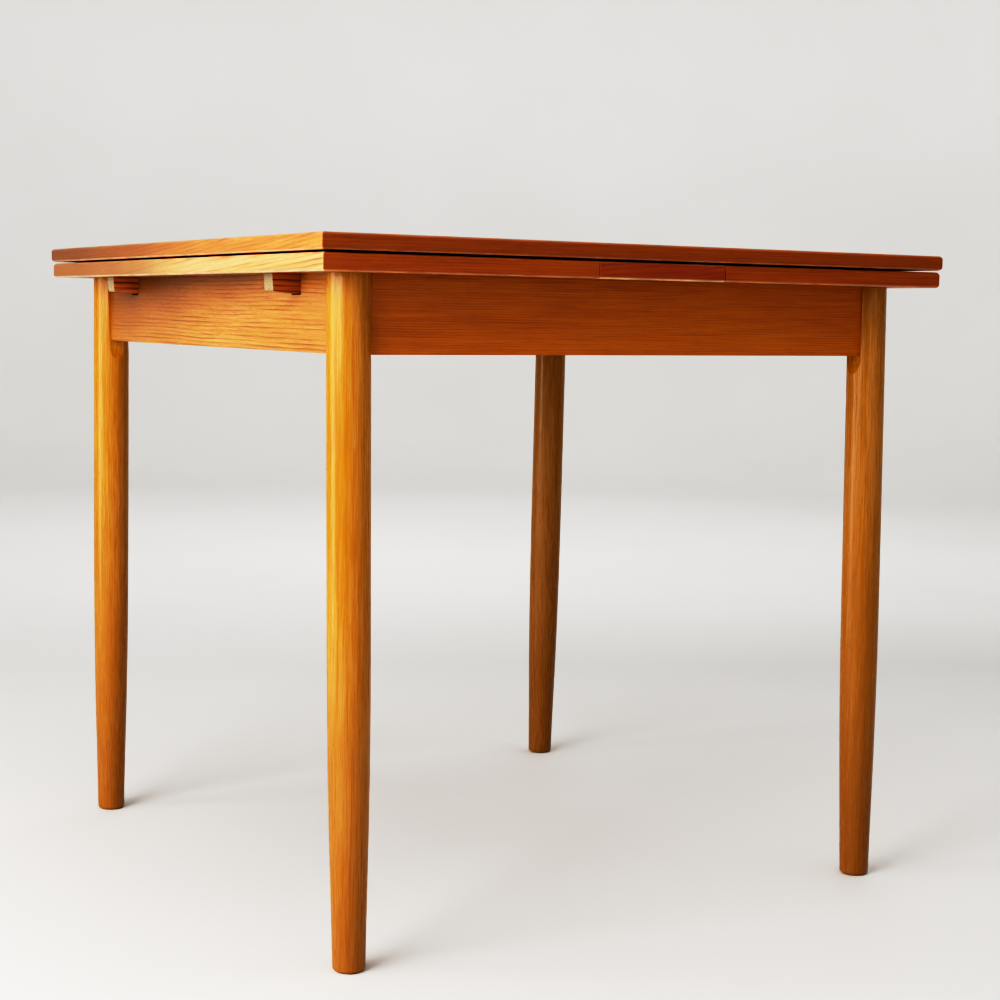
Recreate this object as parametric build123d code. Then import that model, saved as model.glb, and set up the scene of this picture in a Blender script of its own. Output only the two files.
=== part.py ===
from build123d import *
import math
import os

# Square draw-leaf dining table, closed: two leaves lie under a loose main top,
# one on each side of a fixed centre board. Millimetres, +Z up, X is the way the
# leaves pull out, and the origin is on the floor under the middle of the table.

# ---- driving dimensions ----
TOP_X = 790.0                 # main top, along the pull-out direction
TOP_Y = 790.0
HEIGHT = 730.0
TOP_THICK = 16.5
TOP_GAP = 2.0                 # air gap that the felt keeps under the main top
LEAF_THICK = 18.0
LEAF_INSET = 2.0              # leaves stand back from the main top's edge
LEAF_LAP = 162.0              # distance between the two leaves' inner edges
JOINT_GAP = 0.5               # centre board to leaf
JOINT_ROUND = 0.8             # upright edges of the lippings at that joint
LIPPING = 8.0                 # solid edge strips round the veneered panels
EDGE_ROUND = 4.0
CORNER_ROUND = 1.5

LEG_X = 336.5                 # leg axes, half-way up the aprons
LEG_Y = 335.0
LEG_R = 22.0
LEG_LEAN = 0.97               # degrees: the feet stand further apart along Y
FOOT_R = 16.5
FOOT_ROUND = 4.0
TAPER_TOP = 340.0             # height where the taper runs out into the round leg
FLAT_DEPTH_X = 3.6            # flats on a leg's two inner sides: for a long apron's end
FLAT_DEPTH_Y = 2.7            # and for an end apron's end
FLAT_BELOW_X = 1.0            # straight part of each flat below the apron
FLAT_BELOW_Y = 9.0
FLAT_RUNOUT_R = 58.0

APRON_HIGH = 79.0
APRON_THICK = 20.0            # the long aprons stand centred on the leg axes
END_APRON_OUT = 7.0           # outer face of an end apron, outside the leg axes
ARRIS = 1.0

RAIL_THICK = 20.0             # two cross rails under the centre board
RAIL_X = 45.0
RAIL_LOW = 622.0

BEARER_THICK = 21.0
BEARER_END_X = 375.0          # outer end of a leaf's bearers
BEARER_END_RAKE = 1.5         # how far the end slants inwards down to its lower edge
BEARER_END_DEPTH = 18.0
BEARER_ROUND = 2.5            # lower edges
BEARER_INNER_X = 300.0        # inner end, on the far side of the table
BEARER_Y_LEFT = 230.5         # the left leaf's bearers lie outside the right leaf's
BEARER_Y_RIGHT = 206.5
SIDE_CLEAR = 0.5
SLIDE_CLEAR = 0.3
STOP_PEG_R = 5.0
STOP_PEG_DROP = 7.0
STOP_PEG_SET = 14.0

DOWEL_R = 4.0
DOWEL_IN_LEG = 15.0
DOWEL_IN_APRON = 25.0
GUIDE_PEG_R = 7.0
GUIDE_PEG_DROP = 45.0
GUIDE_PEG_SET = 10.0
GUIDE_PEG_Y = 150.0
GUIDE_HOLE_R = 9.0

FELT_X = 340.0                # inner edge of a felt strip
FELT_WIDE = 12.0
FELT_LONG = 600.0
FELT_THICK = 1.9

BLOCK_LOW = 618.0             # corner blocks inside the apron frame
BLOCK_HIGH = 40.0
BLOCK_REACH_IN = 31.0         # along each apron, from the inner corner
BLOCK_REACH_OUT = 75.0

# ---- heights and places worked out from them ----
TOP_LOW = HEIGHT - TOP_THICK
LEAF_TOP = TOP_LOW - TOP_GAP
FRAME_TOP = LEAF_TOP - LEAF_THICK
APRON_LOW = FRAME_TOP - APRON_HIGH
LEAF_END_X = TOP_X / 2 - LEAF_INSET
LEAF_SIDE_Y = TOP_Y / 2 - LEAF_INSET
LEAF_INNER_X = LEAF_LAP / 2
FLAT_X = LEG_X - LEG_R + FLAT_DEPTH_X
FLAT_Y = LEG_Y - LEG_R + FLAT_DEPTH_Y
LEAN_HEIGHT = (APRON_LOW + FRAME_TOP) / 2
APRON_IN_X = LEG_X - APRON_THICK / 2
APRON_IN_Y = LEG_Y - APRON_THICK / 2
TRAVEL = TOP_X / 2 - LEAF_INNER_X + JOINT_GAP
RISE = TOP_THICK + TOP_GAP
SLOPE = RISE / TRAVEL


def block(x0, x1, y0, y1, z0, z1):
    """A plain box between two corners."""
    size = (x1 - x0, y1 - y0, z1 - z0)
    middle = ((x0 + x1) / 2, (y0 + y1) / 2, (z0 + z1) / 2)
    return Pos(*middle) * Box(*size)


def rod(radius, start, end):
    """A round rod or hole between two points."""
    path = Vector(*end) - Vector(*start)
    plane = Plane(origin=start, z_dir=path)
    return extrude(plane * Circle(radius), path.length)


def prism(points, z0, z1):
    """An upright prism over an outline in the XY plane."""
    outline = make_face(Polyline(*points, close=True))
    return extrude(Pos(0, 0, z0) * outline, z1 - z0)


def half_turn(shape):
    """The same piece on the other end of the table."""
    return Rot(0, 0, 180) * shape


def screw(head_r, head_h, shank_r, length, head, way):
    """A wood screw: a flat head at the point head, its shank running along way."""
    way = Vector(*way).normalized()
    start = Vector(*head)
    neck = start + way * head_h
    tip = start + way * length
    return rod(head_r, tuple(start), tuple(neck)) + rod(shank_r, tuple(neck), tuple(tip))


# ---- edged boards ----
def rounded_board(x_half, y_half, z0, z1):
    """A board with rounded upper and lower edges all round."""
    board = block(-x_half, x_half, -y_half, y_half, z0, z1)
    board = fillet(board.edges().filter_by(Axis.Z), CORNER_ROUND)
    faces = board.faces().sort_by(Axis.Z)
    return fillet(faces[0].edges() + faces[-1].edges(), EDGE_ROUND)


def edge_sector(x_half, y_half, side, z0, z1):
    """The part of a board's rim that one lipping takes, mitred at its corners."""
    reach = 2 * LIPPING
    outer_x = x_half + LIPPING
    outer_y = y_half + LIPPING
    inner_x = x_half - reach
    inner_y = y_half - reach
    corners = {
        "front": [(-outer_x, -outer_y), (outer_x, -outer_y), (inner_x, -inner_y), (-inner_x, -inner_y)],
        "back": [(-outer_x, outer_y), (outer_x, outer_y), (inner_x, inner_y), (-inner_x, inner_y)],
        "left": [(-outer_x, -outer_y), (-outer_x, outer_y), (-inner_x, inner_y), (-inner_x, -inner_y)],
        "right": [(outer_x, -outer_y), (outer_x, outer_y), (inner_x, inner_y), (inner_x, -inner_y)],
    }
    return prism(corners[side], z0, z1)


def edged_board(x_half, y_half, z0, z1, sides):
    """A veneered panel and its solid lippings, as a dictionary of pieces."""
    board = rounded_board(x_half, y_half, z0, z1)
    core = block(-x_half + LIPPING, x_half - LIPPING, -y_half + LIPPING, y_half - LIPPING, z0, z1)
    rim = board - core
    pieces = {"panel": board & core}
    for side in sides:
        pieces["lipping_" + side] = rim & edge_sector(x_half, y_half, side, z0, z1)
    return pieces


def eased(lipping):
    """A lipping with its upright outer edges rounded where it meets the next board."""
    upright = lipping.edges().filter_by(Axis.Z)
    shown = [edge for edge in upright
             if abs(edge.center().X) < LEAF_LAP and abs(edge.center().Y) > LEAF_SIDE_Y - JOINT_GAP]
    return fillet(shown, JOINT_ROUND)


# ---- legs and frame ----
def leg_round():
    """The turned leg on the Z axis, a little too long at both ends."""
    spare = 4.0
    foot = (FOOT_R, -spare)
    top = FRAME_TOP + spare
    swell = ((18.0, 60), (19.6, 125), (21.1, 205))
    with BuildSketch(Plane.XZ) as section:
        with BuildLine():
            Line((0, -spare), foot)
            Spline(foot, *swell, (LEG_R, TAPER_TOP), tangents=((0.03, 1), (0, 1)))
            Line((LEG_R, TAPER_TOP), (LEG_R, top))
            Line((LEG_R, top), (0, top))
            Line((0, top), (0, -spare))
        make_face()
    return revolve(section.sketch, Axis.Z)


def flat_cutter(plane_x, straight_low):
    """What is planed off a leg's +X side, back to plane_x; it runs out in an arc at the bottom."""
    out = LEG_R + 3
    drop = math.sqrt(FLAT_RUNOUT_R**2 - (FLAT_RUNOUT_R - (out - plane_x))**2)
    with BuildSketch(Plane.XZ) as section:
        with BuildLine():
            Line((plane_x, FRAME_TOP + 1), (plane_x, straight_low))
            TangentArc((plane_x, straight_low), (out, straight_low - drop), tangent=(0, -1))
            Line((out, straight_low - drop), (out, FRAME_TOP + 1))
            Line((out, FRAME_TOP + 1), (plane_x, FRAME_TOP + 1))
        make_face()
    return extrude(section.sketch, LEG_R, both=True)


def leg(sign_x, sign_y):
    """A leg at its corner: it leans, stands level, and has flats on the sides that face the aprons."""
    lean = Pos(0, 0, LEAN_HEIGHT) * Rot(sign_y * LEG_LEAN, 0, 0) * Pos(0, 0, -LEAN_HEIGHT)
    shape = lean * leg_round()
    shape &= block(-2 * LEG_R, 2 * LEG_R, -2 * LEG_R, 2 * LEG_R, 0, FRAME_TOP)
    shape = fillet(shape.edges().sort_by(Axis.Z)[0], FOOT_ROUND)
    toward_x = 180 if sign_x > 0 else 0
    toward_y = -90 if sign_y > 0 else 90
    shape -= Rot(0, 0, toward_x) * flat_cutter(LEG_X - FLAT_X, APRON_LOW - FLAT_BELOW_X)
    shape -= Rot(0, 0, toward_y) * flat_cutter(LEG_Y - FLAT_Y, APRON_LOW - FLAT_BELOW_Y)
    return Pos(sign_x * LEG_X, sign_y * LEG_Y, 0) * shape


def dowels():
    """Every apron dowel: two at each end of each apron."""
    pins = []
    for sign_x in (-1, 1):
        for sign_y in (-1, 1):
            for z in (APRON_LOW + 18, APRON_LOW + 52):
                inner = sign_x * FLAT_X
                y = sign_y * LEG_Y
                pins.append(rod(DOWEL_R, (inner + sign_x * DOWEL_IN_LEG, y, z),
                                (inner - sign_x * DOWEL_IN_APRON, y, z)))
            for z in (APRON_LOW + 34, APRON_LOW + 66):
                inner = sign_y * FLAT_Y
                x = sign_x * LEG_X
                pins.append(rod(DOWEL_R, (x, inner + sign_y * DOWEL_IN_LEG, z),
                                (x, inner - sign_y * DOWEL_IN_APRON, z)))
    return pins


def long_apron():
    """The front apron, between two legs along X."""
    board = block(-FLAT_X, FLAT_X, -APRON_IN_Y - APRON_THICK, -APRON_IN_Y, APRON_LOW, FRAME_TOP)
    low = board.edges().filter_by(Axis.X).group_by(Axis.Z)[0]
    return fillet(low, ARRIS)


def bearer_low(x):
    """Height of the left bearers' straight lower edge, which climbs towards -X."""
    return FRAME_TOP - BEARER_END_DEPTH - SLOPE * (x + BEARER_END_X)


def end_apron(bearer_y):
    """The left end apron, notched from above for a leaf's two bearers."""
    inner_x = -APRON_IN_X
    outer_x = -LEG_X - END_APRON_OUT
    board = block(outer_x, inner_x, -FLAT_Y, FLAT_Y, APRON_LOW, FRAME_TOP)
    low = board.edges().filter_by(Axis.Y).group_by(Axis.Z)[0]
    board = fillet(low, ARRIS)
    reach = BEARER_THICK / 2 + SIDE_CLEAR
    floor = bearer_low(inner_x) - SLIDE_CLEAR
    for y in (-bearer_y, bearer_y):
        board -= block(outer_x - 1, inner_x + 1, y - reach, y + reach, floor, FRAME_TOP + 1)
    return board


def cross_rail(own_y, far_y):
    """The left cross rail: it carries the centre board and guides the bearers of both leaves."""
    x0 = -RAIL_X - RAIL_THICK / 2
    x1 = -RAIL_X + RAIL_THICK / 2
    rail = block(x0, x1, -APRON_IN_Y, APRON_IN_Y, RAIL_LOW, FRAME_TOP)
    reach = BEARER_THICK / 2 + SIDE_CLEAR
    own_floor = bearer_low(x1) - SLIDE_CLEAR
    far_floor = bearer_low(-x0 + STOP_PEG_R) - STOP_PEG_DROP - SLIDE_CLEAR
    for bearer_y, floor in ((own_y, own_floor), (far_y, far_floor)):
        for y in (-bearer_y, bearer_y):
            rail -= block(x0 - 1, x1 + 1, y - reach, y + reach, floor, FRAME_TOP + 1)
    return rail


def corner_block(sign_x, sign_y):
    """A glued block across the inner corner of two aprons, and its two screws."""
    outline = [
        (APRON_IN_X - BLOCK_REACH_IN, APRON_IN_Y),
        (APRON_IN_X - BLOCK_REACH_OUT, APRON_IN_Y),
        (APRON_IN_X, APRON_IN_Y - BLOCK_REACH_OUT),
        (APRON_IN_X, APRON_IN_Y - BLOCK_REACH_IN),
    ]
    place = [(sign_x * x, sign_y * y) for x, y in outline]
    shape = prism(place, BLOCK_LOW, BLOCK_LOW + BLOCK_HIGH)
    z = BLOCK_LOW + BLOCK_HIGH / 2
    middle = (BLOCK_REACH_IN + BLOCK_REACH_OUT) / 2
    seat = 9.0
    pieces = []
    spots = [
        ((sign_x * (APRON_IN_X - middle), sign_y * (APRON_IN_Y - seat), z), (0, sign_y, 0)),
        ((sign_x * (APRON_IN_X - seat), sign_y * (APRON_IN_Y - middle), z), (sign_x, 0, 0)),
    ]
    for head, way in spots:
        fixing = screw(4.0, 2.0, 2.0, 22.0, head, way)
        back = tuple(Vector(*head) - Vector(*way) * BLOCK_REACH_OUT)
        shape = shape - fixing - rod(4.0, head, back)
        pieces.append(fixing)
    return shape, pieces


# ---- centre board ----
def centre_board():
    """The fixed board between the leaves: a panel and a lipping at each end."""
    half = LEAF_INNER_X - JOINT_GAP / 2
    wide = edged_board(LEAF_END_X, LEAF_SIDE_Y, FRAME_TOP, LEAF_TOP, ("front", "back"))
    strip = block(-half, half, -TOP_Y, TOP_Y, FRAME_TOP, LEAF_TOP)
    pieces = {name: piece & strip for name, piece in wide.items()}
    for name in ("lipping_front", "lipping_back"):
        pieces[name] = eased(pieces[name])
    for y in (-GUIDE_PEG_Y, GUIDE_PEG_Y):
        pieces["panel"] -= rod(GUIDE_HOLE_R, (0, y, FRAME_TOP - 1), (0, y, LEAF_TOP + 1))
    screws = []
    for x in (-RAIL_X, RAIL_X):
        for y in (-290, 0, 290):
            fixing = screw(4.5, 3.0, 2.25, 45.0, (x, y, LEAF_TOP), (0, 0, -1))
            pieces["panel"] -= fixing
            screws.append(fixing)
    return pieces, screws


# ---- leaves ----
def bearer(y):
    """A left bearer: level under the leaf, then falling with the slope below the centre board."""
    high = FRAME_TOP
    inner_high = high - SLIDE_CLEAR - SLOPE * (BEARER_INNER_X + LEAF_INNER_X)
    outline = [
        (-BEARER_END_X + BEARER_END_RAKE, bearer_low(-BEARER_END_X + BEARER_END_RAKE)),
        (-BEARER_END_X, high),
        (-LEAF_INNER_X - JOINT_GAP, high),
        (-LEAF_INNER_X, high - SLIDE_CLEAR),
        (BEARER_INNER_X, inner_high),
        (BEARER_INNER_X, bearer_low(BEARER_INNER_X)),
    ]
    side = make_face(Plane.XZ * Polyline(*outline, close=True))
    bar = Pos(0, y, 0) * extrude(side, BEARER_THICK / 2, both=True)
    under = [face for face in bar.faces() if face.normal_at().Z < -0.9]
    return fillet(under[0].edges(), BEARER_ROUND)


def leaf(bearer_y):
    """A left leaf: panel, lippings, two bearers, their screws and stop pegs."""
    wide = edged_board(LEAF_END_X, LEAF_SIDE_Y, FRAME_TOP, LEAF_TOP, ("left", "front", "back"))
    keep = block(-TOP_X, -LEAF_INNER_X - JOINT_GAP / 2, -TOP_Y, TOP_Y, FRAME_TOP, LEAF_TOP)
    pieces = {name: piece & keep for name, piece in wide.items()}
    for name in ("lipping_front", "lipping_back"):
        pieces[name] = eased(pieces[name])
    screws = []
    pegs = []
    peg_x = -RAIL_X + RAIL_THICK / 2 + STOP_PEG_R + SLIDE_CLEAR + TRAVEL
    for name, y in (("bearer_front", -bearer_y), ("bearer_back", bearer_y)):
        bar = bearer(y)
        for x in (-350, -230, -110):
            head = (x, y, FRAME_TOP - 12)
            fixing = screw(4.0, 2.0, 2.0, 24.0, head, (0, 0, 1))
            bar = bar - fixing - rod(4.0, head, (x, y, FRAME_TOP - APRON_HIGH))
            pieces["panel"] -= fixing
            screws.append(fixing)
        low = bearer_low(peg_x)
        peg = rod(STOP_PEG_R, (peg_x, y, low - STOP_PEG_DROP), (peg_x, y, low + STOP_PEG_SET))
        pieces[name] = bar - peg
        pegs.append(peg)
    pieces["bearer_screws"] = Compound(screws)
    pieces["stop_pegs"] = Compound(pegs)
    return pieces


# ---- main top ----
def main_top():
    """The loose main top: panel, four lippings and two guide pegs in its underside."""
    pieces = edged_board(TOP_X / 2, TOP_Y / 2, TOP_LOW, HEIGHT, ("front", "back", "left", "right"))
    pegs = []
    for y in (-GUIDE_PEG_Y, GUIDE_PEG_Y):
        peg = rod(GUIDE_PEG_R, (0, y, TOP_LOW - GUIDE_PEG_DROP), (0, y, TOP_LOW + GUIDE_PEG_SET))
        pieces["panel"] -= peg
        pegs.append(peg)
    pieces["guide_pegs"] = Compound(pegs)
    return pieces


def felt_strip():
    """The felt under the main top's left end."""
    return block(-FELT_X - FELT_WIDE, -FELT_X, -FELT_LONG / 2, FELT_LONG / 2, TOP_LOW - FELT_THICK, TOP_LOW)


# ---- assembly ----
def build():
    """Every node's name and shape."""
    nodes = {}
    pins = dowels()
    for end, sign_x in (("left", -1), ("right", 1)):
        for side, sign_y in (("front", -1), ("back", 1)):
            post = leg(sign_x, sign_y)
            for pin in pins:
                post -= pin
            nodes[f"leg_{end}_{side}"] = post

    aprons = {
        "apron_front": long_apron(),
        "apron_back": half_turn(long_apron()),
        "apron_left_end": end_apron(BEARER_Y_LEFT),
        "apron_right_end": half_turn(end_apron(BEARER_Y_RIGHT)),
    }
    block_screws = []
    for end, sign_x in (("left", -1), ("right", 1)):
        for side, sign_y in (("front", -1), ("back", 1)):
            shape, fixings = corner_block(sign_x, sign_y)
            nodes[f"corner_block_{end}_{side}"] = shape
            block_screws += fixings
    for name, apron in aprons.items():
        for piece in pins + block_screws:
            apron -= piece
        nodes[name] = apron
    nodes["apron_dowels"] = Compound(pins)
    nodes["corner_block_screws"] = Compound(block_screws)

    board, board_screws = centre_board()
    for name, piece in board.items():
        nodes["centre_board_" + name] = piece
    rails = {
        "cross_rail_left": cross_rail(BEARER_Y_LEFT, BEARER_Y_RIGHT),
        "cross_rail_right": half_turn(cross_rail(BEARER_Y_RIGHT, BEARER_Y_LEFT)),
    }
    for name, rail in rails.items():
        for fixing in board_screws:
            rail -= fixing
        nodes[name] = rail
    nodes["centre_board_screws"] = Compound(board_screws)

    for name, piece in leaf(BEARER_Y_LEFT).items():
        nodes["left_leaf_" + name] = piece
    opposite = {"left": "right", "front": "back", "back": "front"}
    for name, piece in leaf(BEARER_Y_RIGHT).items():
        stem, _, side = name.rpartition("_")
        other = f"{stem}_{opposite[side]}" if side in opposite else name
        nodes["right_leaf_" + other] = half_turn(piece)

    for name, piece in main_top().items():
        nodes["top_" + name] = piece
    nodes["felt_strip_left"] = felt_strip()
    nodes["felt_strip_right"] = half_turn(felt_strip())
    return nodes


os.makedirs("parts", exist_ok=True)
for node_name, node_shape in build().items():
    export_step(node_shape, f"parts/{node_name}.step")
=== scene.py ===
import math

import bpy
from mathutils import Matrix, Vector


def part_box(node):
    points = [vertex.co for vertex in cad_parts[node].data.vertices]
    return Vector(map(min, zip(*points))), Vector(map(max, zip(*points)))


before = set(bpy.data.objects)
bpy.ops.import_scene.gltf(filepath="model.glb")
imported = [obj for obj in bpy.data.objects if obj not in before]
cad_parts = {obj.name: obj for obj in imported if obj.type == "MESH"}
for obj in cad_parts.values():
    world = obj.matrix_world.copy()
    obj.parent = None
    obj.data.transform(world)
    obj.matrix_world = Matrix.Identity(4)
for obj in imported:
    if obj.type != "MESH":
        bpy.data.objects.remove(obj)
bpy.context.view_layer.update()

# The looks of a closed draw-leaf table: every CAD piece keeps its shape and gets a
# procedural finish of its own. Metres, in the CAD frame: +Z up, the leaves pull out along X.

QUARTER = math.pi / 2


# ---- node helpers ----
class Finish:
    """A material that is being built: small calls that add one node each."""

    def __init__(self, name):
        self.material = bpy.data.materials.new(name)
        self.material.use_nodes = True
        self.tree = self.material.node_tree
        self.surface = self.tree.nodes["Principled BSDF"]

    def put(self, socket, value):
        """Links an output to a socket, or sets a constant on it."""
        if isinstance(value, bpy.types.NodeSocket):
            self.tree.links.new(value, socket)
        else:
            socket.default_value = value

    def math(self, operation, a, b=0.0, clamp=False):
        node = self.tree.nodes.new("ShaderNodeMath")
        node.operation = operation
        node.use_clamp = clamp
        self.put(node.inputs[0], a)
        self.put(node.inputs[1], b)
        return node.outputs[0]

    def weighted(self, start, parts):
        """start plus each part's distance from its middle value, times its weight."""
        total = start
        for part, weight in parts:
            distance = self.math("SUBTRACT", part, 0.5)
            total = self.math("ADD", total, self.math("MULTIPLY", distance, weight))
        return total

    def object_place(self):
        """A point's place in the piece, which stays on it as it moves."""
        return self.tree.nodes.new("ShaderNodeTexCoord").outputs["Object"]

    def object_normal(self):
        """The way the surface faces, in the piece's own axes."""
        return self.tree.nodes.new("ShaderNodeTexCoord").outputs["Normal"]

    def turn(self, vector, angles, shift=(0, 0, 0)):
        """The vector turned by three angles and then shifted."""
        node = self.tree.nodes.new("ShaderNodeMapping")
        node.inputs["Rotation"].default_value = angles
        node.inputs["Location"].default_value = shift
        self.put(node.inputs["Vector"], vector)
        return node.outputs["Vector"]

    def stretch(self, vector, scale):
        node = self.tree.nodes.new("ShaderNodeVectorMath")
        node.operation = "MULTIPLY"
        self.put(node.inputs[0], vector)
        node.inputs[1].default_value = scale
        return node.outputs[0]

    def noise(self, vector, scale=1.0, detail=2.0, rough=0.5):
        node = self.tree.nodes.new("ShaderNodeTexNoise")
        self.put(node.inputs["Vector"], vector)
        node.inputs["Scale"].default_value = scale
        node.inputs["Detail"].default_value = detail
        node.inputs["Roughness"].default_value = rough
        return node.outputs["Fac"]

    def split(self, vector):
        node = self.tree.nodes.new("ShaderNodeSeparateXYZ")
        self.put(node.inputs[0], vector)
        return node.outputs

    def span(self, value, low, high, out_low=0.0, out_high=1.0):
        """A smooth step of value between low and high."""
        node = self.tree.nodes.new("ShaderNodeMapRange")
        node.interpolation_type = "SMOOTHSTEP"
        self.put(node.inputs["Value"], value)
        node.inputs["From Min"].default_value = low
        node.inputs["From Max"].default_value = high
        node.inputs["To Min"].default_value = out_low
        node.inputs["To Max"].default_value = out_high
        return node.outputs["Result"]

    def ramp(self, value, stops):
        node = self.tree.nodes.new("ShaderNodeValToRGB")
        self.put(node.inputs["Fac"], value)
        elements = node.color_ramp.elements
        while len(elements) < len(stops):
            elements.new(0.5)
        for element, (at, colour) in zip(elements, stops):
            element.position = at
            element.color = (*colour, 1.0)
        return node.outputs["Color"]

    def mix(self, share, under, over):
        """Colour over laid on colour under, as thick as share."""
        node = self.tree.nodes.new("ShaderNodeMixRGB")
        self.put(node.inputs["Fac"], share)
        self.put(node.inputs["Color1"], under)
        self.put(node.inputs["Color2"], over)
        return node.outputs["Color"]

    def bump(self, height, distance, strength):
        """Fine relief on the surface, distance metres deep."""
        node = self.tree.nodes.new("ShaderNodeBump")
        node.inputs["Distance"].default_value = distance
        node.inputs["Strength"].default_value = strength
        self.put(node.inputs["Height"], height)
        self.put(self.surface.inputs["Normal"], node.outputs["Normal"])

    def done(self, colour, roughness, **constants):
        """The finished material; each constant goes straight on the shader's own socket."""
        self.put(self.surface.inputs["Base Color"], colour)
        self.put(self.surface.inputs["Roughness"], roughness)
        for name, value in constants.items():
            self.surface.inputs[name.replace("_", " ")].default_value = value
        return self.material


# ---- woods ----
GRAIN_TURN = {"x": (0, 0, 0), "y": (0, 0, -QUARTER), "z": (0, QUARTER, 0)}

# dark, middle and light wood; the lippings' palettes end with a paler colour painted along the
# arrises: a painted highlight mixed with bare worn wood
GOLD_TEAK = ((0.200, 0.080, 0.024), (0.430, 0.180, 0.044), (0.580, 0.320, 0.150))
ORANGE_TEAK = ((0.200, 0.078, 0.024), (0.450, 0.165, 0.040), (0.580, 0.270, 0.100), (0.76, 0.48, 0.30))
PALE_TEAK = ((0.300, 0.130, 0.044), (0.560, 0.310, 0.135), (0.700, 0.460, 0.280), (0.82, 0.60, 0.42))
RED_TEAK = ((0.270, 0.062, 0.001), (0.420, 0.130, 0.004), (0.520, 0.195, 0.012))
EDGE_TEAK = ((0.200, 0.034, 0.001), (0.340, 0.082, 0.002), (0.430, 0.125, 0.006), (0.68, 0.34, 0.17))
PANEL_TEAK = ((0.170, 0.062, 0.018), (0.300, 0.128, 0.042), (0.400, 0.195, 0.075))
CENTRE_TEAK = ((0.150, 0.018, 0.001), (0.290, 0.052, 0.003), (0.380, 0.100, 0.012), (0.95, 0.72, 0.42))
LEG_GOLD = ((0.245, 0.074, 0.001), (0.405, 0.170, 0.006), (0.590, 0.335, 0.110))
BEARER_WOOD = ((0.150, 0.026, 0.008), (0.420, 0.150, 0.045), (0.560, 0.250, 0.100))
PALE_BEECH = ((0.420, 0.220, 0.095), (0.560, 0.330, 0.160), (0.680, 0.440, 0.240))
BEARER_CUT = ((0.20, 0.15, 0.085), (0.36, 0.28, 0.165))   # dark and light end grain
STEEL_SHADES = ((0.34, 0.31, 0.26), (0.60, 0.57, 0.50))
FELT_SHADES = ((0.012, 0.030, 0.012), (0.045, 0.085, 0.035))
FLOOR_SHADES = ((0.69, 0.682, 0.67), (0.74, 0.732, 0.722))

# how fine each kind of figure is, in cells per metre: along the grain, across it and up
DRIFT = (2.0, 11, 11)
RIPPLE = (14, 60, 60)
PATCH = (9, 120, 120)
FIBRE = (16, 800, 800)
STREAK = (5, 260, 260)
CLOUD = (2.6, 16, 16)
PORE = (60, 1900, 1900)

PITH = (0.05, 0.09)           # the rings' middle: metres to the side and down from the log's zero
RIPPLE_SHARE = 0.12           # of the rings' wobble
EARLY_END = 0.45              # where in a ring the dark late wood starts,
LATE_PEAK = 0.92              # where it is darkest,
LATE_END = 0.94               # and where it starts to break off
MIDDLE_TONE = 0.56            # of plain wood, on the way from dark (0) to light (1)
PORE_DARK = 0.35
FALLOFF_DARK = 0.75              # painted shade ends in the palette's dark wood times this


def dimmed(colour, factor):
    return tuple(channel * factor for channel in colour)


def deeper(palette, factor):
    """The same wood, darker all over."""
    return tuple(dimmed(colour, factor) for colour in palette)


def place_in_log(number):
    """A shift of its own for each piece, so that no two show the same figure."""
    return (0.37 * number, 0.113 * (number % 5), 0.071 * (number % 7))


def late_wood(f, base, ring, cone, wobble):
    """The dark part of each growth ring: the rings lie on slim cones round the pith."""
    along, across, up = f.split(base)
    drift = f.noise(f.stretch(base, DRIFT))
    ripple = f.noise(f.stretch(base, RIPPLE))
    y = f.math("ADD", across, PITH[0])
    z = f.math("ADD", up, PITH[1])
    radius = f.math("SQRT", f.math("ADD", f.math("MULTIPLY", y, y), f.math("MULTIPLY", z, z)))
    radius = f.math("ADD", radius, f.math("MULTIPLY", along, cone))
    radius = f.weighted(radius, ((drift, wobble), (ripple, wobble * RIPPLE_SHARE)))
    phase = f.math("FRACT", f.math("DIVIDE", radius, ring))
    late = f.math("MULTIPLY", f.span(phase, EARLY_END, LATE_PEAK), f.span(phase, 1.0, LATE_END))
    patchy = f.span(f.noise(f.stretch(base, PATCH)), 0.35, 0.65, 0.25, 1.0)
    return f.math("MULTIPLY", late, patchy)


def wood_lines(f, grain, number, tilt, ring, cone, wobble):
    """Everything that follows one piece's grain: growth rings, fibres, streaks, clouds and pores."""
    square = f.turn(f.object_place(), GRAIN_TURN[grain])
    base = f.turn(square, (0, math.radians(tilt), 0), place_in_log(number))
    return {
        "late": late_wood(f, base, ring, cone, wobble),
        "fibre": f.noise(f.stretch(base, FIBRE), detail=3.0, rough=0.65),
        "streak": f.noise(f.stretch(base, STREAK), detail=3.0, rough=0.6),
        "cloud": f.noise(f.stretch(base, CLOUD)),
        "pore": f.span(f.noise(f.stretch(base, PORE), detail=1.0), 0.60, 0.68),
    }


def arris_highlight_and_wear(f, colour, highlight_and_bare, heights, reach):
    """A painted highlight mixed with wear: wood made lighter in patches along a board's lower arris,
    and less along the upper one.
    """
    low, high = heights
    height = f.split(f.object_place())[2]
    patches = f.noise(f.object_place(), scale=45, detail=3.0)
    lower = f.span(height, low + reach, low)
    upper = f.span(height, high - reach, high, 0.0, 0.35)
    near = f.math("MAXIMUM", lower, upper)
    share = f.math("MULTIPLY", near, f.span(patches, 0.3, 0.7, 0.45, 0.95))
    return f.mix(share, colour, (*highlight_and_bare, 1.0))


def painted_falloff(f, colour, dark, direction, start, end, share):
    """Wood painted darker along a direction, from start to end: painted shade where less light
    reaches.
    """
    place = f.object_place()
    node = f.tree.nodes.new("ShaderNodeVectorMath")
    node.operation = "DOT_PRODUCT"
    f.put(node.inputs[0], place)
    node.inputs[1].default_value = direction
    uneven = f.noise(place, scale=7)
    value = f.weighted(node.outputs["Value"], ((uneven, (end - start) * 0.5),))
    return f.mix(f.span(value, start, end, 0.0, share), colour, (*dark, 1.0))


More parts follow.
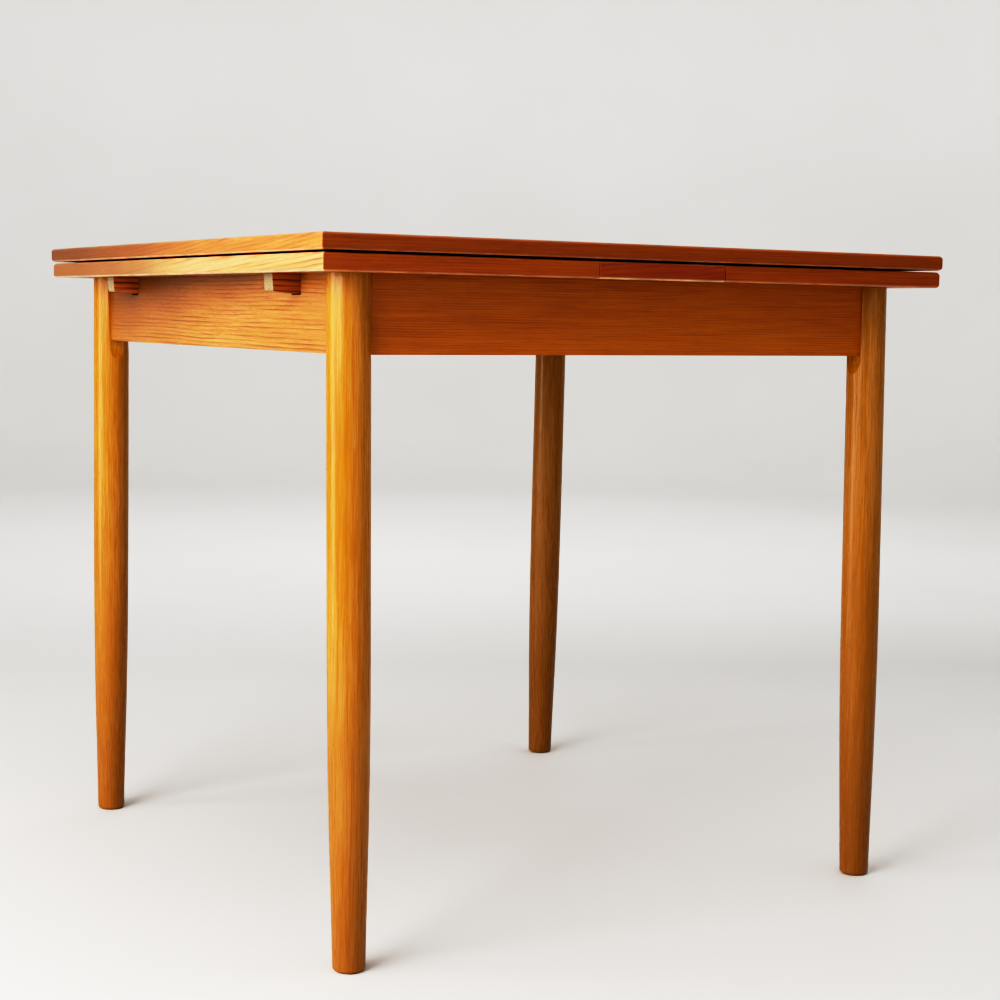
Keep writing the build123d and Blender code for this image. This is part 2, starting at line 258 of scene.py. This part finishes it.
def cut_ends(f, colour, shades, grain):
    """Paler, speckled wood where the surface faces along the grain."""
    facing = f.math("ABSOLUTE", f.split(f.object_normal())["xyz".index(grain)])
    speck = f.noise(f.object_place(), scale=900)
    cut = f.ramp(speck, ((0.3, shades[0]), (0.7, shades[1])))
    return f.mix(f.span(facing, 0.45, 0.8), colour, cut)


def wood_colour(f, palette, lines, figure, rings):
    """Plain wood: figure gives the weight of each kind of line, and rings that of the late wood."""
    dark, middle, light = palette[:3]
    tone = f.weighted(MIDDLE_TONE, [(lines[kind], weight) for kind, weight in figure])
    tone = f.math("SUBTRACT", tone, f.math("MULTIPLY", lines["late"], rings), clamp=True)
    colour = f.ramp(tone, ((0.0, dark), (0.5, middle), (1.0, light)))
    return f.mix(f.math("MULTIPLY", lines["pore"], PORE_DARK), colour, (*dark, 1.0))


def oiled(f, lines, colour, gloss):
    """A satin oil finish that leaves the pores open and the fibres just to be felt."""
    roughness = f.weighted(gloss, ((lines["fibre"], 0.16), (lines["cloud"], 0.14)))
    roughness = f.math("ADD", roughness, f.math("MULTIPLY", lines["pore"], 0.12))
    relief = f.math("SUBTRACT", f.math("MULTIPLY", lines["fibre"], 0.7), lines["pore"])
    relief = f.math("SUBTRACT", relief, f.math("MULTIPLY", lines["late"], 0.3))
    f.bump(relief, distance=0.0001, strength=0.6)
    return f.done(colour, roughness, Specular_IOR_Level=0.5)


def wood(name, palette, grain, number, tilt=0.0, ring=0.0032, cone=0.012, wobble=0.006, rings=0.28,
         fibres=0.75, streaks=0.65, clouds=0.5, gloss=0.36, edges=None, end_grain=None, fade=None):
    """Solid or veneered wood with its grain along one axis, under a satin oil finish."""
    f = Finish(name)
    lines = wood_lines(f, grain, number, tilt, ring, cone, wobble)
    figure = (("fibre", fibres), ("streak", streaks), ("cloud", clouds))
    colour = wood_colour(f, palette, lines, figure, rings)
    if fade:
        # painted shade: darker along a direction, where less light reaches
        colour = painted_falloff(f, colour, dimmed(palette[0], FALLOFF_DARK), *fade)
    if edges:
        # painted highlight along the arrises, mixed with wear
        colour = arris_highlight_and_wear(f, colour, palette[3], *edges)
    if end_grain:
        colour = cut_ends(f, colour, end_grain, grain)
    return oiled(f, lines, colour, gloss)


def steel(name):
    """Plain turned screw metal, a little dulled."""
    f = Finish(name)
    haze = f.noise(f.object_place(), scale=900, detail=3.0)
    brush = f.noise(f.stretch(f.object_place(), (1, 1, 6)), scale=2500)
    colour = f.ramp(haze, ((0.3, STEEL_SHADES[0]), (0.7, STEEL_SHADES[1])))
    f.bump(brush, distance=0.00003, strength=0.6)
    return f.done(colour, f.span(haze, 0.3, 0.7, 0.28, 0.5), Metallic=1.0)


def felt(name):
    """Thin pressed felt: matted fibres with a soft nap."""
    f = Finish(name)
    mat = f.noise(f.object_place(), scale=1400, detail=4.0, rough=0.7)
    patch = f.noise(f.object_place(), scale=60)
    tone = f.weighted(0.5, ((mat, 1.2), (patch, 0.5)))
    colour = f.ramp(tone, ((0.3, FELT_SHADES[0]), (0.7, FELT_SHADES[1])))
    f.bump(mat, distance=0.0003, strength=0.8)
    return f.done(colour, 0.95, Sheen_Weight=0.4, Sheen_Roughness=0.5)


# ---- which finish each CAD piece gets ----
def board_edges(node, reach=0.0025):
    """The heights of a board's lower and upper arrises, and how far the painted highlight and wear
    reach from them.
    """
    low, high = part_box(node)
    return (low.z, high.z), reach


# painted shade: legs farther from the window get darker copies of the same wood
LEG_SHADE_DEPTH = {
    "leg_left_front": 1.0,
    "leg_left_back": 0.95,
    "leg_right_front": 0.85,
    "leg_right_back": 0.72,
}
TOP_EDGE_DEPTH = 0.8
LEAF_EDGE_DEPTH = 0.95

# a painted shade falloff is a direction, the metres along it where the painted shade starts and is
# full, and its share
# legs: painted shade, darker towards the floor
LEG_SHADE_FALLOFF = ((0.0, 0.0, -1.0), -0.50, 0.05, 0.55)
# end aprons: painted shade, darker towards the top under the leaf and towards the far end
END_APRON_SHADE_FALLOFF = ((0.0, 0.13, 1.0), 0.62, 0.72, 0.9)
# left and right lippings: painted shade, darker towards the far end
END_LIPPING_SHADE_FALLOFF = ((0.0, 1.0, 0.0), -0.28, 0.28, 0.95)


def node_finish(node, number):
    """The finish of one CAD piece, by what it is."""
    across = node.endswith(("_left", "_right"))
    if node.startswith("leg_"):
        palette = deeper(LEG_GOLD, LEG_SHADE_DEPTH[node])
        return wood(node, palette, "z", number, ring=0.006, cone=0.004, wobble=0.008, rings=0.10,
                    fibres=0.7, streaks=0.28, clouds=0.45, gloss=0.27, fade=LEG_SHADE_FALLOFF)
    if node.startswith("apron_") and node.endswith("_end"):
        return wood(node, GOLD_TEAK, "y", number, tilt=1.0, ring=0.0036, wobble=0.013, rings=0.50,
                    streaks=0.4, fade=END_APRON_SHADE_FALLOFF)
    if node in ("apron_front", "apron_back"):
        return wood(node, RED_TEAK, "x", number, tilt=0.4, ring=0.0027, wobble=0.010, rings=0.25,
                    fibres=0.9)
    if "screws" in node:
        return steel(node)
    if node.startswith("felt"):
        return felt(node)
    if "bearer" in node:
        return wood(node, BEARER_WOOD, "x", number, ring=0.0055, cone=0.003, wobble=0.004, rings=0.75,
                    end_grain=BEARER_CUT)
    if node.startswith("centre_board_lipping"):
        return wood(node, CENTRE_TEAK, "x", number, tilt=4, ring=0.006, wobble=0.06, rings=0.22,
                    edges=board_edges(node))
    if "lipping" in node and across:
        palette = PALE_TEAK if node.startswith("left_leaf") else ORANGE_TEAK
        return wood(node, palette, "y", number, tilt=-3.5, ring=0.0038, wobble=0.020, rings=0.42,
                    edges=board_edges(node), fade=END_LIPPING_SHADE_FALLOFF)
    if "lipping" in node:
        palette = deeper(EDGE_TEAK, TOP_EDGE_DEPTH if node.startswith("top") else LEAF_EDGE_DEPTH)
        return wood(node, palette, "x", number, tilt=0.8, rings=0.25, edges=board_edges(node))
    if node.endswith("panel"):
        return wood(node, PANEL_TEAK, "x", number, ring=0.006, cone=0.02, wobble=0.035, rings=0.35,
                    clouds=0.7)
    return wood(node, PALE_BEECH, "z" if "peg" in node else "y", number, rings=0.15, gloss=0.5)


for number, node in enumerate(sorted(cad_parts)):
    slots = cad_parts[node].data.materials
    slots.clear()
    slots.append(node_finish(node, number))


# ---- floor, light and camera ----
def cove_outline():
    """Radius and height of each ring of the floor: level, then a quarter round, then upright."""
    flat, cove, top = 4.6, 1.8, 5.0
    arc_steps = 12
    outline = [(flat, 0.0)]
    for step in range(1, arc_steps + 1):
        angle = step * QUARTER / arc_steps
        outline.append((flat + cove * math.sin(angle), cove * (1 - math.cos(angle))))
    outline.append((flat + cove, top))
    return outline


def cove_mesh(name, turns):
    """The floor as a mesh: a middle point and rings of faces round it."""
    outline = cove_outline()
    points = [(0.0, 0.0, 0.0)]
    for radius, height in outline:
        for turn in range(turns):
            angle = turn * math.tau / turns
            points.append((radius * math.cos(angle), radius * math.sin(angle), height))
    faces = [(0, 1 + turn, 1 + (turn + 1) % turns) for turn in range(turns)]
    for ring in range(len(outline) - 1):
        for turn in range(turns):
            a = 1 + ring * turns + turn
            b = 1 + ring * turns + (turn + 1) % turns
            faces.append((a, a + turns, b + turns, b))
    mesh = bpy.data.meshes.new(name)
    mesh.from_pydata(points, [], faces)
    mesh.polygons.foreach_set("use_smooth", [True] * len(faces))
    return mesh


def pale_floor():
    """A plain pale floor that curves up far away from the table on every side."""
    mesh = cove_mesh("pale_floor", turns=96)
    floor = bpy.data.objects.new("pale_floor", mesh)
    bpy.context.scene.collection.objects.link(floor)
    f = Finish("pale_floor")
    tint = f.noise(f.object_place(), scale=1.3, detail=3.0)
    colour = f.ramp(tint, ((0.2, FLOOR_SHADES[0]), (0.8, FLOOR_SHADES[1])))
    mesh.materials.append(f.done(colour, 0.6))


def soft_light(name, place, aim, size, power, colour):
    """A rectangular softbox that points at a spot and that no camera sees."""
    data = bpy.data.lights.new(name, "AREA")
    data.shape = "RECTANGLE"
    data.size, data.size_y = size
    data.energy = power
    data.color = colour
    lamp = bpy.data.objects.new(name, data)
    lamp.location = place
    lamp.rotation_euler = (Vector(aim) - Vector(place)).to_track_quat("-Z", "Y").to_euler()
    lamp.visible_camera = False
    bpy.context.scene.collection.objects.link(lamp)


def wall_washes(heading, powers, colour):
    """Softboxes above the table, a quarter turn apart, that face outwards and light the backdrop."""
    lamp_radius, lamp_height = 1.75, 2.8
    aim_radius, aim_height = 5.8, 1.9
    for step, power in enumerate(powers):
        angle = math.radians(heading) + step * QUARTER
        out = Vector((math.cos(angle), math.sin(angle), 0.0))
        place = out * lamp_radius + Vector((0.0, 0.0, lamp_height))
        aim = out * aim_radius + Vector((0.0, 0.0, aim_height))
        soft_light(f"wall_wash_{step}", place, aim, (3.0, 1.0), power, colour)


def room_light(colour, strength):
    """A little even light from all round."""
    world = bpy.data.worlds.new("room")
    world.use_nodes = True
    background = world.node_tree.nodes["Background"]
    background.inputs["Color"].default_value = (*colour, 1.0)
    background.inputs["Strength"].default_value = strength
    bpy.context.scene.world = world


def view_camera(place, heading, pitch, roll, lens):
    """A camera that looks along +Y at heading 0 and towards -X as it grows; angles in degrees."""
    data = bpy.data.cameras.new("camera")
    data.lens = lens
    data.sensor_width = 36.0
    data.clip_end = 50.0
    camera = bpy.data.objects.new("camera", data)
    turn = Matrix.Rotation(math.radians(heading), 4, "Z")
    tip = Matrix.Rotation(math.radians(90 + pitch), 4, "X")
    lean = Matrix.Rotation(math.radians(roll), 4, "Z")
    camera.matrix_world = Matrix.Translation(place) @ turn @ tip @ lean
    bpy.context.scene.collection.objects.link(camera)
    bpy.context.scene.camera = camera


def picture_tone(white, points):
    """A plain display view with a contrast curve: pairs of scene brightness and what is shown."""
    combined = 3
    view = bpy.context.scene.view_settings
    view.view_transform = "Standard"
    view.use_curve_mapping = True
    view.curve_mapping.white_level = (white, white, white)
    curve = view.curve_mapping.curves[combined]
    for scene_value, shown in points:
        curve.points.new(scene_value / white, shown)
    view.curve_mapping.update()


WARM = (1.0, 0.985, 0.955)
SOFT_WARM = (1.0, 0.985, 0.965)
WHITE = (1.0, 0.99, 0.98)
CONTRAST = (
    (0.04, 0.004),
    (0.12, 0.035),
    (0.25, 0.145),
    (0.4, 0.36),
    (0.55, 0.60),
    (0.8, 0.80),
    (1.1, 0.93),
)

pale_floor()
room_light(SOFT_WARM, strength=0.12)
soft_light("window", (-2.10, -0.72, 1.35), (-0.35, -0.2, 0.55), (1.4, 1.4), 60.0, WARM)
soft_light("side_window", (-2.6, 0.65, 0.95), (-0.35, -0.3, 0.5), (1.0, 1.9), 28.0, WARM)
soft_light("front_fill", (0.3, -3.4, 0.75), (0.2, 0.0, 0.6), (3.2, 1.4), 8.0, SOFT_WARM)
soft_light("ceiling", (0.4, -0.4, 3.2), (0.4, -0.4, 0.0), (4.5, 4.5), 88.0, WHITE)
wall_washes(heading=64.0, powers=(110.0, 42.0, 42.0, 42.0), colour=WHITE)
view_camera((-1.1525, -1.9453, 0.6568), heading=-31.637, pitch=-5.786, roll=0.915, lens=66.3)
picture_tone(white=1.5, points=CONTRAST)
